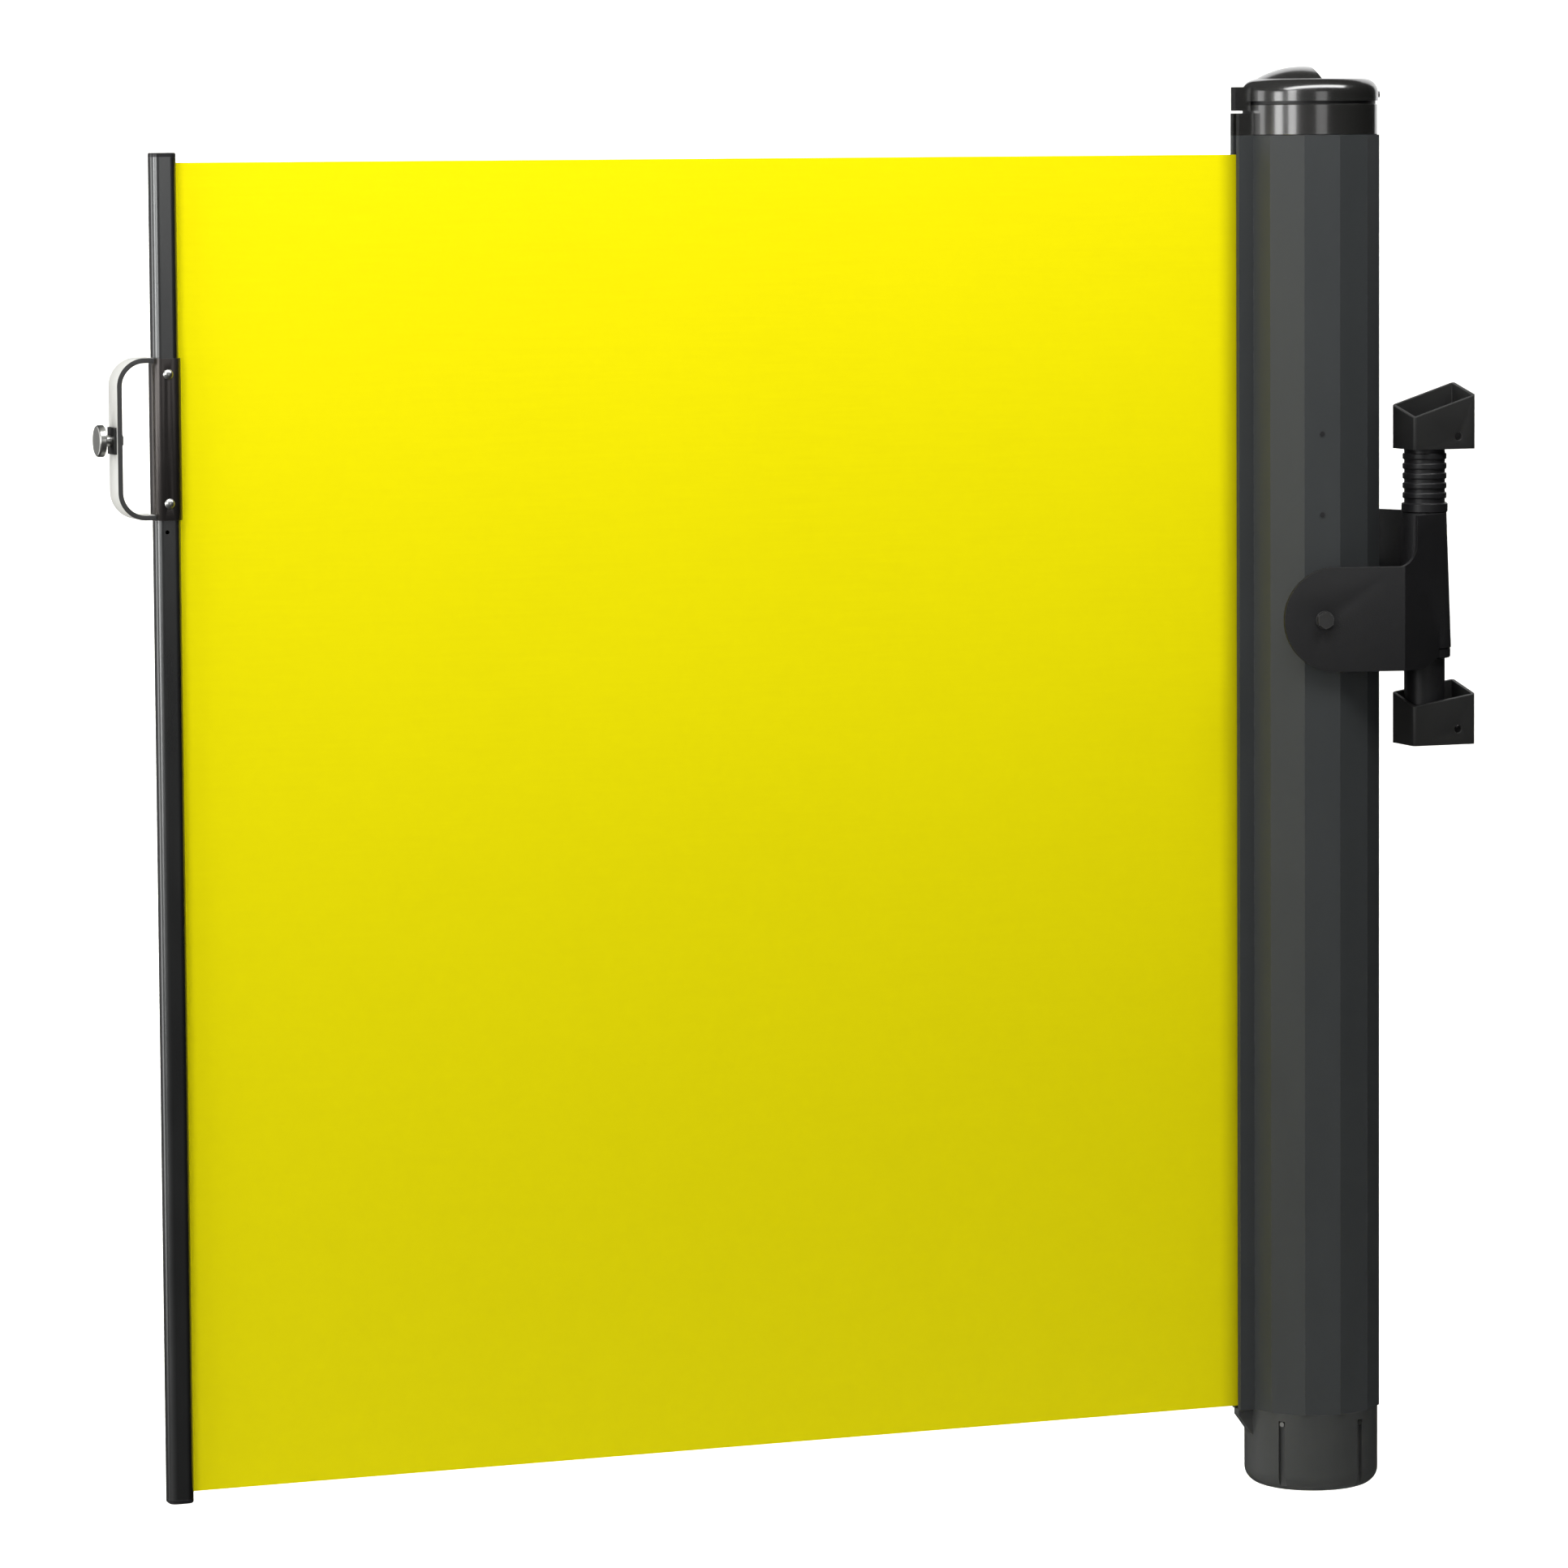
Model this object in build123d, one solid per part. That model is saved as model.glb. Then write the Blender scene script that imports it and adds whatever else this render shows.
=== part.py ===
"""Retractable welding curtain screen: a spring roller in an upright cassette, hung on a swivelling yoke."""

from build123d import *
from math import asin, atan2, cos, degrees, hypot, radians, sin, tan
import os

# All sizes in mm. X runs into the wall, whose face is X = 0, and Z is up.
# Z = 0 is midway between the two rows of wall screws, and Y = 0 is the swivel axis.

# Curtain
curtain_height = 1600
curtain_width = 1385
curtain_thick = 0.8
curtain_top = 542
curtain_bottom = curtain_top - curtain_height

# Swivel yoke: its arm is turned from the curtain's plane, because it grips two flats of the housing
arm_length = 148
arm_turn = -15
pivot_x = -57
cassette_x = pivot_x - arm_length * cos(radians(arm_turn))
cassette_y = -arm_length * sin(radians(arm_turn))
tilt_z = -44
ear_inner = 92
ear_thick = 9
ear_radius = 66
ear_shift = 15
ear_length = 103
hub_radius = 30
hub_top_radius = 28
hub_foot_radius = 34
hub_bore = 14
hub_top = 84.5
hub_bottom = -88
cheek_top = tilt_z + ear_radius
cheek_bottom = tilt_z - ear_radius
step_round = 28
gusset_thick = 8
bolt_radius = 6
bolt_across = 19
bolt_head = 7.5
washer_thick = 2.5
washer_radius = 11.5
spacer_radius = 19

# Pivot rod with its sleeves and rings
rod_radius = 10
running_gap = 0.05
rest_gap = 0.3
ring_thick = 12.5
ring_radius = 29.5
low_ring_radius = 33
low_ring_foot = hub_bottom - rest_gap - ring_thick
sleeve_radius = 26
rib_count = 5
rib_pitch = 12.5
rib_height = 8
rib_radius = 28
washer_reach = 18
washer_height = 3
nut_across = 30
nut_thick = 14

# Wall boxes
box_width = 88
box_depth = 64
box_wall = 4
box_floor = 5
box_round = 5
upper_floor = 166
lower_floor = -212
upper_lip = (206, 234)
lower_lip = (-162, -148)
back_rise = 15
screw_radius = 4.5
screw_z = 190
screw_y = 15
lock_radius = 5
lock_x = -25
upper_lock_z = 182
lower_lock_z = -192

# Housing: a twelve-sided tube with a corner at the slot
sides = 12
flat_radius = 85
wall = 3
housing_top = 566
housing_bottom = -1062
lip_reach = 105
lip_outer = 12.5
slot_half = 4.5
glide_thick = 1.5
rivet_heights = (88, 190)
rivet_radius = 2
rivet_head = 3.2
plate_thick = 5
plate_half = 18
plate_low = tilt_z - 40
plate_high = 215

# End fittings
collar_top = 605
lid_bottom = 609
lid_top = 637
hump_top = 653
lid_radius = 86.5
hump_x = -12
hump_reach = 76
hump_base = 13
hump_brow = 0
hump_foot = 10
hump_turn = -20
lid_round = 18
lid_roof = 4
lid_haunch = 14
lug_half = 7
fitting_radius = 85.5
fitting_wall = 5
spigot_radius = 80.5
spigot_depth = 16
cap_bottom = -1163
cap_round = 20
lug_drop = 34
groove_width = 9
groove_depth = 5
groove_angles = (-141, -68, 68, 141)

# Roller
roller_y = -24
tube_radius = 35
tube_wall = 2
roll_radius = 36.2
shaft_radius = 8
plug_length = 24
bearing_radius = 11
shaft_end = 24
hub_range = (60, 90)
anchor_range = (470, 500)
coil_radius = 20
coil_wire = 2
coil_pitch = 18
coil_turns = 20
coil_low = 94

# Pull bar and handle
bar_width = 31
bar_depth = 28
bar_round = 9
bar_wall = 2
bar_top = 549
bar_bottom = -1065
bar_cap = 5
keder_radius = 3
handle_low = 118
handle_high = 311
strip_width = 40
strip_thick = 6
strip_reach = 46
strip_round = 34
grip_low = 117
grip_high = 310
grip_gap = 10
grip_wall = 2.5
grip_screws = (137, 291)
screw_hole = 2.5
dome_radius = 8
dome_height = 5
knob_z = 213
knob_shank = 3
knob_neck = (6.5, 9)
knob_head = (19, 9)
knob_plate_thick = 3
knob_plate_half = 16

slot_x = cassette_x - lip_reach
bar_right = slot_x - curtain_width
bar_x = bar_right - bar_width / 2
strip_x = bar_x - bar_width / 2 - grip_wall - strip_reach
roller_axis = (cassette_x, cassette_y + roller_y)
roller_low = curtain_bottom + 6
roller_high = curtain_top - 6
plug_starts = (roller_low, roller_high - plug_length)


def rod(radius, low, high, at=(0, 0)):
    """An upright round bar from low to high."""
    return Pos(at[0], at[1], (low + high) / 2) * Cylinder(radius, high - low)


def tube(outer, inner, low, high, at=(0, 0)):
    """An upright tube from low to high."""
    return rod(outer, low, high, at) - rod(inner, low - 1, high + 1, at)


def block(x_range, y_range, z_range):
    """A square block between its faces."""
    low = (x_range[0], y_range[0], z_range[0])
    size = (x_range[1] - x_range[0], y_range[1] - y_range[0], z_range[1] - z_range[0])
    return Pos(*low) * Box(*size, align=(Align.MIN, Align.MIN, Align.MIN))


def upright(sketch, low, high):
    """A flat outline in plan, raised from low to high."""
    return Pos(0, 0, low) * extrude(sketch, high - low)


def elevation(points, y_low, y_high):
    """An outline in X and Z, made solid from y_low to y_high."""
    face = Plane.XZ * make_face(Polyline(*points, close=True))
    return Pos(0, y_high, 0) * extrude(face, y_high - y_low)


def in_cassette(shape):
    """Moves a shape made about the housing's axis to its place."""
    return Pos(cassette_x, cassette_y, 0) * shape


def in_yoke(shape):
    """Moves a shape made about the housing's axis, with the arm along X, to its place."""
    return Pos(cassette_x, cassette_y, 0) * Rot(0, 0, arm_turn) * shape


def radial(radius, start, end, angle, z):
    """A round bar lying along a radius of the housing, from start to end."""
    bar = Pos((start + end) / 2, 0, z) * Rot(0, 90, 0) * Cylinder(radius, end - start)
    return Rot(0, 0, angle) * bar


def hex_head(across, thick):
    """A hexagon head standing on Z = 0."""
    return extrude(RegularPolygon(across / 2, 6, major_radius=False), thick)


def pack_parts(shapes):
    """Several like pieces kept as separate solids in one node."""
    return Compound(children=list(shapes))


# Wall brackets


def wall_box(floor_z, lip, lock_z):
    """A folded and welded box with a slanted mouth, screwed to the wall through its right wall."""
    left, right = lip
    middle = -box_width / 2
    height = right - floor_z
    outline = Pos(middle, 0) * RectangleRounded(box_width, box_depth, box_round)
    inner_size = (box_width - 2 * box_wall, box_depth - 2 * box_wall)
    inner = Pos(middle, 0) * RectangleRounded(*inner_size, box_round - box_wall)
    body = upright(outline, floor_z, right + back_rise)
    body -= upright(inner, floor_z + box_floor, right + back_rise + 1)
    slope = ((-box_width - 1, left), (1, right), (1, right + height), (-box_width - 1, right + height))
    mouth = Pos(0, box_depth / 2, -left) * elevation(slope, -box_depth, 2 * box_depth)
    lean = degrees(atan2(back_rise, box_depth))
    body -= Pos(0, -box_depth / 2, left) * Rot(lean, 0, 0) * mouth
    body -= rod(rod_radius, floor_z - 1, floor_z + box_floor + 1, (pivot_x, 0))
    body -= Pos(lock_x, 0, lock_z) * Rot(90, 0, 0) * Cylinder(lock_radius, box_depth + 2)
    row = screw_z if floor_z > 0 else -screw_z
    for y in (-screw_y, screw_y):
        body -= Pos(-box_wall / 2, y, row) * Rot(0, 90, 0) * Cylinder(screw_radius, box_wall + 2)
    return body


def ribbed_sleeve():
    """A moulded spacer with soft ribs, under the upper box."""
    low = hub_top + ring_thick + rest_gap
    body = rod(sleeve_radius, low, upper_floor, (pivot_x, 0))
    start = low + (upper_floor - low - (rib_count - 1) * rib_pitch) / 2
    for index in range(rib_count):
        middle = start + index * rib_pitch
        rib = Cylinder(rib_radius, rib_height)
        rib = fillet(rib.edges().filter_by(GeomType.CIRCLE), 1.8)
        body += Pos(pivot_x, 0, middle) * rib
    return body - rod(rod_radius, low - 1, upper_floor + 1, (pivot_x, 0))


def plain_sleeve():
    """A turned spacer standing on the lower box's floor."""
    low = lower_floor + box_floor
    high = hub_bottom - ring_thick - rest_gap
    body = rod(sleeve_radius, low, high, (pivot_x, 0))
    body = chamfer(body.edges().filter_by(GeomType.CIRCLE), 1.5)
    return body - rod(rod_radius, low - 1, high + 1, (pivot_x, 0))


def thrust_ring(radius, low, high):
    """A flat ring that the hub turns against."""
    body = rod(radius, low, high, (pivot_x, 0))
    body = chamfer(body.edges().filter_by(GeomType.CIRCLE), 1.5)
    return body - rod(rod_radius, low - 1, high + 1, (pivot_x, 0))


def pivot_rod():
    """The long rod that ties both boxes together and carries the yoke."""
    body = rod(rod_radius, lower_floor, upper_floor + 26, (pivot_x, 0))
    return chamfer(body.edges().sort_by(Axis.Z)[-1], 1.5)


def pivot_washer():
    """The washer on the upper box's floor."""
    low = upper_floor + box_floor
    return tube(washer_reach, rod_radius, low, low + washer_height, (pivot_x, 0))


def pivot_nut():
    """The nut on the rod's upper end."""
    low = upper_floor + box_floor + washer_height
    nut = Pos(pivot_x, 0, low) * hex_head(nut_across, nut_thick)
    return nut - rod(rod_radius, low - 1, low + nut_thick + 1, (pivot_x, 0))


# Yoke


def cheek_plan(side):
    """One cheek of the yoke in plan: flat beside the housing, then slanting in to the hub."""
    outer = ear_inner + ear_thick
    fold = (ear_length, -outer)
    reach = hypot(arm_length - fold[0], outer)
    lean = atan2(outer, arm_length - fold[0]) - asin(hub_radius / reach)
    run = (reach**2 - hub_radius**2) ** 0.5
    touch = (fold[0] + run * cos(lean), fold[1] + run * sin(lean))
    inward = (-ear_thick * sin(lean), ear_thick * cos(lean))
    inner_fold = fold[0] - ear_thick * tan(lean / 2)
    start = ear_shift - ear_radius - 2
    points = [
        (start, -outer),
        fold,
        touch,
        (touch[0] + inward[0], touch[1] + inward[1]),
        (inner_fold, -ear_inner),
        (start, -ear_inner),
    ]
    return make_face(Polyline(*[(x, -y * side) for x, y in points], close=True))


def cheek_side(full_from):
    """A cheek's outline from the side: a round ear that steps up to the full height of the hub."""
    reach = ear_inner + 4 * ear_thick
    right = arm_length + hub_radius + 2
    ear = Pos(ear_shift, 0, tilt_z) * Rot(90, 0, 0) * Cylinder(ear_radius, 2 * reach)
    ear += block((ear_shift, right), (-reach, reach), (cheek_bottom, cheek_top))
    ear += block((full_from, right), (-reach, reach), (cheek_bottom, hub_top))
    corner = block((full_from - step_round, full_from), (-reach, reach), (cheek_top, cheek_top + step_round))
    scoop = Pos(full_from - step_round, 0, cheek_top + step_round)
    corner -= scoop * Rot(90, 0, 0) * Cylinder(step_round, 2 * reach + 2)
    ear += corner
    rise = ((arm_length - 12, cheek_bottom - 1), (right + 1, cheek_bottom - 1), (right + 1, hub_bottom))
    return ear - elevation(rise, -reach - 1, reach + 1)


def swivel_yoke():
    """The cast yoke: a hub for the pivot and two cheeks that hold the housing front and back."""
    hub = Cone(hub_foot_radius, hub_top_radius, hub_top - hub_bottom)
    body = Pos(arm_length, 0, (hub_top + hub_bottom) / 2) * hub
    front = upright(cheek_plan(-1), cheek_bottom - 5, hub_top)
    rear = upright(cheek_plan(1), cheek_bottom - 5, hub_top)
    body += front & cheek_side(arm_length - hub_radius + 6)
    body += rear & cheek_side(ear_length - 8)
    half = ear_inner - 14
    plan = ((ear_length + 8, -half), (arm_length, -8), (arm_length, 8), (ear_length + 8, half))
    gusset = upright(make_face(Polyline(*plan, close=True)), tilt_z - gusset_thick, tilt_z)
    body += gusset
    body -= rod(hub_bore, hub_bottom - 1, hub_top + 1, (arm_length, 0))
    boss = Pos(0, 0, tilt_z) * Rot(90, 0, 0)
    body -= boss * Cylinder(shaft_radius + running_gap, 4 * ear_inner)
    body -= rod(low_ring_radius + 1, cheek_bottom - 6, hub_bottom, (arm_length, 0))
    return in_yoke(body)


def hub_bushes():
    """Plastic bushes pressed into the hub's ends."""
    length = 30
    low = tube(hub_bore, rod_radius + running_gap, hub_bottom, hub_bottom + length, (pivot_x, 0))
    high = tube(hub_bore, rod_radius + running_gap, hub_top - length, hub_top, (pivot_x, 0))
    return pack_parts([low, high])


# Cassette


def housing_outline(apothem):
    """The twelve-sided outline with a corner at the slot."""
    return RegularPolygon(apothem, sides, major_radius=False)


def housing_profile():
    """The extruded housing with its slot and two lips."""
    lips = Pos(-lip_reach / 2 - 40, 0) * Rectangle(lip_reach - 80, 2 * lip_outer)
    sketch = housing_outline(flat_radius) + lips
    sketch -= housing_outline(flat_radius - wall)
    sketch -= Pos(-lip_reach / 2 - 36, 0) * Rectangle(lip_reach - 70, 2 * slot_half)
    body = upright(sketch, housing_bottom, housing_top)
    body -= rod(spigot_radius + 0.2, housing_bottom - 1, housing_bottom + spigot_depth)
    body -= rod(spigot_radius + 0.2, housing_top - spigot_depth, housing_top + 1)
    body = in_cassette(body)
    for side in (-90, 90):
        body -= in_yoke(radial(bolt_radius, 70, 90, side, tilt_z))
        for z in rivet_heights:
            body -= in_yoke(radial(rivet_radius, 70, 90, side, z))
    return body


def slot_glides():
    """Plastic strips that line the slot so the lips don't cut the curtain."""
    strips = []
    for side in (-1, 1):
        y_range = sorted((side * (slot_half - glide_thick), side * slot_half))
        strip = block((-lip_reach + 2, -lip_reach + 20), y_range, (housing_bottom + 20, housing_top - 20))
        strips.append(in_cassette(strip))
    return pack_parts(strips)


def slot_lug(low, high, reach, half):
    """The short lips that an end fitting carries in line with the housing's."""
    lug = block((-reach, -fitting_radius + 8), (-half, half), (low, high))
    return lug


def top_collar():
    """The glossy ring pushed into the housing's top end."""
    body = rod(fitting_radius, housing_top, collar_top)
    body = chamfer(body.edges().filter_by(GeomType.CIRCLE), 1)
    body += slot_lug(housing_top, housing_top + 28, lip_reach, lip_outer)
    slot = ((-lip_reach - 1, -fitting_radius - 2), (-slot_half, slot_half), (housing_top - 1, collar_top))
    body -= block(*slot)
    body -= rod(fitting_radius - fitting_wall, housing_top + 6, collar_top + 1)
    body += rod(spigot_radius, housing_top - spigot_depth, housing_top)
    body -= rod(spigot_radius - 4, housing_top - spigot_depth - 1, housing_top + 1)
    body += rod(spigot_radius - 2, housing_top + 1, housing_top + 6)
    body -= Pos(0, roller_y) * rod(bearing_radius, housing_top, housing_top + 7)
    return in_cassette(body)


def lid_gasket():
    """The thin ring in the joint between collar and lid."""
    return in_cassette(tube(fitting_radius - 2.5, fitting_radius - fitting_wall - 3, collar_top, lid_bottom))


def top_lid():
    """The moulded lid with a raised hump over the roller's end."""
    disc = rod(lid_radius, lid_bottom, lid_top)
    disc = fillet(disc.edges().filter_by(GeomType.CIRCLE).sort_by(Axis.Z)[-1], lid_round)
    base = lid_top - hump_base
    crown = ((hump_reach**2 + (hump_top - base) ** 2) / (hump_top - base)) / 2
    dome = Pos(hump_x, 0, hump_top - crown) * Sphere(crown)
    side = ((-lid_radius, base), (hump_foot, base), (hump_foot, lid_top))
    side += ((hump_brow, hump_top), (-lid_radius, hump_top))
    hump = dome & (Rot(0, 0, hump_turn) * elevation(side, -lid_radius, lid_radius))
    hump &= rod(lid_radius - 2, lid_bottom, hump_top + 1)
    body = disc + hump
    body += slot_lug(lid_bottom - 12, lid_bottom + 18, lip_reach + 2, lug_half)
    body -= rod(fitting_radius + 0.5, lid_bottom - 20, lid_bottom)
    body -= rod(lid_radius - 6, lid_bottom - 1, lid_top - lid_haunch)
    body -= rod(lid_radius - lid_round - 6, lid_bottom - 1, lid_top - lid_roof)
    return in_cassette(body)


def bottom_cap():
    """The round-bottomed cap pushed into the housing's lower end."""
    body = rod(fitting_radius, cap_bottom, housing_bottom)
    body = fillet(body.edges().filter_by(GeomType.CIRCLE).sort_by(Axis.Z)[0], cap_round)
    lug = slot_lug(housing_bottom - lug_drop, housing_bottom, lip_reach, lug_half)
    tail = ((-lip_reach - 1, housing_bottom - 6), (-fitting_radius, housing_bottom - lug_drop))
    tail += ((-fitting_radius, cap_bottom), (-lip_reach - 1, cap_bottom))
    body += lug - elevation(tail, -lip_outer - 1, lip_outer + 1)
    for angle in groove_angles:
        groove = block(
            (fitting_radius - groove_depth, fitting_radius + 5),
            (-groove_width / 2, groove_width / 2),
            (cap_bottom - 1, housing_bottom - 10),
        )
        body -= Rot(0, 0, angle) * groove
    body -= rod(fitting_radius - groove_depth - fitting_wall, cap_bottom + 6, housing_bottom + 1)
    body += tube(fitting_radius - 2, 30, housing_bottom - 8, housing_bottom)
    spigot = tube(spigot_radius, spigot_radius - 4, housing_bottom, housing_bottom + spigot_depth)
    notch_top = housing_bottom + spigot_depth + 1
    notch = block((-lip_reach, 0), (-lip_outer, lip_outer), (housing_bottom, notch_top))
    body += spigot - notch
    body += Pos(0, roller_y) * rod(34, housing_bottom - 8, housing_bottom)
    body -= Pos(0, roller_y) * rod(bearing_radius, housing_bottom - 9, housing_bottom + 1)
    for angle in groove_angles:
        body -= radial(2, 70, 90, angle, housing_bottom - 14)
    return in_cassette(body)


def lid_screws():
    """Small screws through the lid's rim."""
    screws = []
    for angle in (arm_turn, arm_turn + 180):
        head = radial(4, lid_radius, lid_radius + 3, angle, lid_bottom + 8)
        screws.append(in_cassette(head))
    return pack_parts(screws)


def cap_screws():
    """Screws in the bottom cap's grooves."""
    screws = []
    for angle in groove_angles:
        head = radial(3, fitting_radius - groove_depth, fitting_radius - 0.5, angle, housing_bottom - 14)
        shank = radial(2, 76, fitting_radius - groove_depth, angle, housing_bottom - 14)
        screws.append(in_cassette(head + shank))
    return pack_parts(screws)


def facet_rivets():
    """Blind rivets that hold the backing plates inside the housing."""
    rivets = []
    for side in (-90, 90):
        for z in rivet_heights:
            shank = radial(rivet_radius, flat_radius - wall - plate_thick, flat_radius, side, z)
            rivets.append(in_yoke(shank + radial(rivet_head, flat_radius, flat_radius + 1, side, z)))
    return pack_parts(rivets)


def backing_plates():
    """Steel plates inside the housing that the ear bolts screw into."""
    plates = []
    for side in (-90, 90):
        depth = (flat_radius - wall - plate_thick, flat_radius - wall)
        plate = block(depth, (-plate_half, plate_half), (plate_low, plate_high))
        plate = Rot(0, 0, side) * plate
        plate -= radial(bolt_radius, 70, 90, side, tilt_z)
        for z in rivet_heights:
            plate -= radial(rivet_radius, 70, 90, side, z)
        plates.append(in_yoke(plate))
    return pack_parts(plates)


def tilt_spacers():
    """Discs between the housing's flats and the yoke's ears."""
    discs = []
    for side in (-90, 90):
        disc = radial(spacer_radius, flat_radius, ear_inner - rest_gap, side, tilt_z)
        disc -= radial(shaft_radius, flat_radius - 1, ear_inner, side, tilt_z)
        discs.append(in_yoke(disc))
    return pack_parts(discs)


def ear_bolts():
    """Shoulder bolts that the housing tilts on."""
    bolts = []
    seat = ear_inner + ear_thick + rest_gap + washer_thick
    for side in (-90, 90):
        shank = radial(bolt_radius, 72, flat_radius, side, tilt_z)
        shank += radial(shaft_radius, flat_radius, seat, side, tilt_z)
        head = Pos(0, 0, tilt_z) * Rot(0, 90, 0) * Pos(0, 0, seat) * hex_head(bolt_across, bolt_head)
        bolts.append(in_yoke(shank + Rot(0, 0, side) * head))
    return pack_parts(bolts)


def ear_washers():
    """Flat washers under the ear bolts' heads."""
    washers = []
    outer = ear_inner + ear_thick + rest_gap
    for side in (-90, 90):
        disc = radial(washer_radius, outer, outer + washer_thick, side, tilt_z)
        disc -= radial(shaft_radius, outer - 1, outer + 4, side, tilt_z)
        washers.append(in_yoke(disc))
    return pack_parts(washers)


def spring_shaft():
    """The still shaft inside the roller, held by the end fittings."""
    body = rod(shaft_radius, housing_bottom - 8, housing_top + 6, roller_axis)
    flat = block((-20, 20), (shaft_radius - 2, 20), (housing_top + 6, housing_top + shaft_end))
    end = rod(shaft_radius, housing_top + 6, housing_top + shaft_end) - flat
    return body + Pos(roller_axis[0], roller_axis[1], 0) * end


def shaft_bushes():
    """Collars that hold the shaft in the top collar and the bottom cap."""
    low = tube(bearing_radius, shaft_radius, housing_bottom - 8, housing_bottom, roller_axis)
    high = tube(bearing_radius, shaft_radius, housing_top + 1, housing_top + 6, roller_axis)
    return pack_parts([low, high])


def shaft_lock():
    """The slotted plate under the lid that stops the shaft turning."""
    low = housing_top + 6
    plate = rod(24, low, low + 5, roller_axis)
    return plate - rod(shaft_radius, low - 1, low + 6, roller_axis)


def curtain_lead():
    """The stretch of curtain from the slot to the roll."""
    bend = (-lip_reach + 22, 0)
    clear = roll_radius + curtain_thick / 2 + rest_gap
    away = (-bend[0], roller_y - bend[1])
    reach = hypot(*away)
    lean = atan2(away[1], away[0]) + asin(clear / reach)
    run = (reach**2 - clear**2) ** 0.5
    end = (bend[0] + run * cos(lean), bend[1] + run * sin(lean))
    half = curtain_thick / 2
    side = (-half * sin(lean), half * cos(lean))
    start_x = -lip_reach
    points = [
        (start_x, -half),
        (bend[0] + half * tan(lean / 2), -half),
        (end[0] - side[0], end[1] - side[1]),
        (end[0] + side[0], end[1] + side[1]),
        (bend[0] - half * tan(lean / 2), half),
        (start_x, half),
    ]
    sheet = upright(make_face(Polyline(*points, close=True)), curtain_bottom, curtain_top)
    return in_cassette(sheet)


# Roller


def roller_tube():
    """The tube that the curtain winds on."""
    return tube(tube_radius, tube_radius - tube_wall, roller_low, roller_high, roller_axis)


def curtain_roll():
    """The last turns of curtain left on the tube when it is pulled right out."""
    return tube(roll_radius, tube_radius, roller_low, roller_high, roller_axis)


def roller_plugs():
    """Moulded plugs in the tube's ends."""
    plugs = []
    for low in plug_starts:
        plugs.append(tube(tube_radius - tube_wall, bearing_radius, low, low + plug_length, roller_axis))
    return pack_parts(plugs)


def roller_bearings():
    """Plain bearings between the plugs and the still shaft."""
    bearings = []
    bore = shaft_radius + running_gap
    for low in plug_starts:
        bearings.append(tube(bearing_radius, bore, low, low + plug_length, roller_axis))
    return pack_parts(bearings)


def spring_hub():
    """The hub in the tube that the spring's far end turns."""
    return tube(tube_radius - tube_wall, shaft_radius + 0.5, *hub_range, roller_axis)


def spring_anchor():
    """The block pinned to the shaft that holds the spring's fixed end."""
    return tube(16, shaft_radius, *anchor_range, roller_axis)


def torsion_spring():
    """The long coil that winds the curtain back in."""
    path = Helix(pitch=coil_pitch, height=coil_pitch * coil_turns, radius=coil_radius)
    profile = Plane(origin=path @ 0, z_dir=path % 0) * Circle(coil_wire)
    spring = sweep(profile, path, is_frenet=True)
    return Pos(roller_axis[0], roller_axis[1], coil_low) * spring


# Pull bar


def pull_bar():
    """The extruded bar on the curtain's free edge, with a channel for the keder."""
    sketch = RectangleRounded(bar_width, bar_depth, bar_round)
    sketch -= RectangleRounded(bar_width - 2 * bar_wall, bar_depth - 2 * bar_wall, bar_round - bar_wall)
    channel = Pos(bar_width / 2 - keder_radius - bar_wall, 0)
    sketch += channel * Circle(keder_radius + bar_wall)
    sketch -= channel * Circle(keder_radius)
    sketch -= Pos(bar_width / 2, 0) * Rectangle(2 * bar_wall + 3, 2)
    body = Pos(bar_x, cassette_y, 0) * upright(sketch, bar_bottom, bar_top)
    front = cassette_y - bar_depth / 2
    for x, z in ((bar_x, grip_screws[0]), (bar_x, grip_screws[1]), (bar_x - 3, grip_low - 14)):
        body -= Pos(x, front, z) * Rot(90, 0, 0) * Cylinder(screw_hole, 3 * bar_wall)
    return body


def bar_end_caps():
    """Plastic caps in the bar's two ends."""
    caps = []
    for low, side in ((bar_top, 1), (bar_bottom - bar_cap, -1)):
        sketch = RectangleRounded(bar_width, bar_depth, bar_round)
        cap = Pos(bar_x, cassette_y, 0) * upright(sketch, low, low + bar_cap)
        edges = cap.edges().group_by(Axis.Z)[-1 if side > 0 else 0]
        caps.append(chamfer(edges, 1.2))
    return pack_parts(caps)


def keder_rod():
    """The bead along the curtain's edge, slid into the bar's channel."""
    at = (bar_right - keder_radius - bar_wall, cassette_y)
    bead = rod(keder_radius - 0.2, bar_bottom + 7, bar_top - 7, at)
    tail = block((at[0], bar_right), (at[1] - 0.6, at[1] + 0.6), (bar_bottom + 7, bar_top - 7))
    return bead + tail


def curtain():
    """The welding curtain between the pull bar and the slot."""
    half = curtain_thick / 2
    return block((bar_right, slot_x), (cassette_y - half, cassette_y + half), (curtain_bottom, curtain_top))


def handle_sleeve():
    """A sheet-metal sleeve folded round the bar, open only where the curtain comes out."""
    sketch = RectangleRounded(bar_width + 2 * grip_wall, bar_depth + 2 * grip_wall, bar_round + grip_wall)
    sketch -= RectangleRounded(bar_width, bar_depth, bar_round)
    sketch -= Pos(bar_width / 2, 0) * Rectangle(4 * grip_wall, grip_gap)
    body = Pos(bar_x, cassette_y, 0) * upright(sketch, grip_low, grip_high)
    front = cassette_y - bar_depth / 2
    for z in grip_screws:
        body -= Pos(bar_x, front, z) * Rot(90, 0, 0) * Cylinder(screw_hole, 4 * grip_wall)
    return body


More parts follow.
